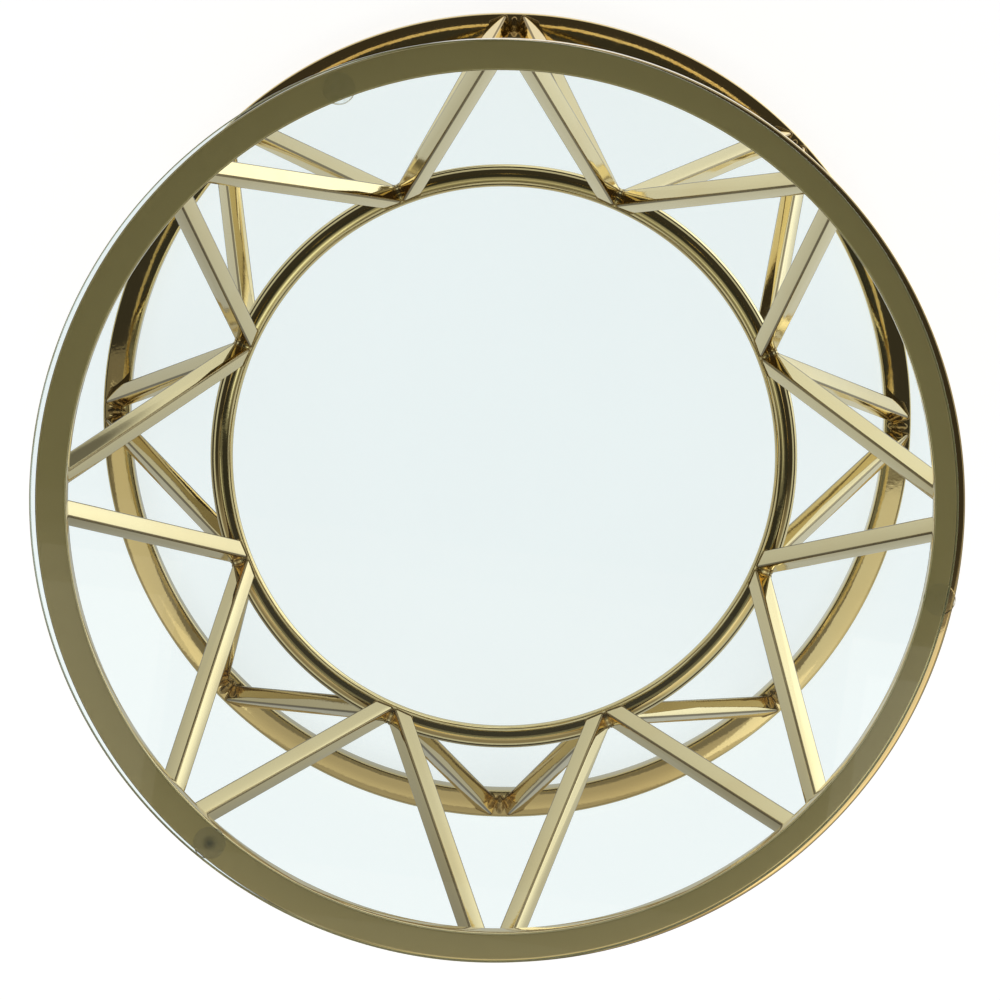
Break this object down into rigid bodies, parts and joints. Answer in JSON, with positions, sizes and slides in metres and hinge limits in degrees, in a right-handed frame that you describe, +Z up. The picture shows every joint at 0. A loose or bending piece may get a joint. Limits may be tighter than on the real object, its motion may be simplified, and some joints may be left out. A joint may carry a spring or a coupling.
{
  "type": "round side table",
  "caption": "Round side table with a loose clear glass top on an hourglass frame of polished brass tube rings and slanting struts.",
  "frame": {"origin": "on the floor, under the centre of the frame's rings", "axes": "+Z up along the rings' common axis; +X and +Y run through strut feet on the top and base rings"},
  "size_m": [0.603, 0.6, 0.59],
  "materials": {
    "polished_brass": "polished",
    "clear_glass": "clear, polished edge",
    "clear_silicone": "clear, satin",
    "dark_rubber": "matte"
  },
  "bodies": {
    "frame": {"base_ring": "polished_brass", "waist_ring": "polished_brass", "top_ring": "polished_brass", "lower_strut_01": "polished_brass", "lower_strut_02": "polished_brass", "lower_strut_03": "polished_brass", "lower_strut_04": "polished_brass", "lower_strut_05": "polished_brass", "lower_strut_06": "polished_brass", "lower_strut_07": "polished_brass", "lower_strut_08": "polished_brass", "lower_strut_09": "polished_brass", "lower_strut_10": "polished_brass", "lower_strut_11": "polished_brass", "lower_strut_12": "polished_brass", "lower_strut_13": "polished_brass", "lower_strut_14": "polished_brass", "lower_strut_15": "polished_brass", "lower_strut_16": "polished_brass", "upper_strut_01": "polished_brass", "upper_strut_02": "polished_brass", "upper_strut_03": "polished_brass", "upper_strut_04": "polished_brass", "upper_strut_05": "polished_brass", "upper_strut_06": "polished_brass", "upper_strut_07": "polished_brass", "upper_strut_08": "polished_brass", "upper_strut_09": "polished_brass", "upper_strut_10": "polished_brass", "upper_strut_11": "polished_brass", "upper_strut_12": "polished_brass", "upper_strut_13": "polished_brass", "upper_strut_14": "polished_brass", "upper_strut_15": "polished_brass", "upper_strut_16": "polished_brass", "floor_pad_1": "dark_rubber", "floor_pad_2": "dark_rubber", "floor_pad_3": "dark_rubber", "floor_pad_4": "dark_rubber", "glass_bumper_1": "clear_silicone", "glass_bumper_2": "clear_silicone", "glass_bumper_3": "clear_silicone"},
    "glass": {"glass_top": "clear_glass"}
  },
  "joints": [
    {"name": "glass_lift", "type": "slide", "parent": "frame", "child": "glass", "axis": [0, 0, 1], "range_m": [0, 0.06]}
  ]
}
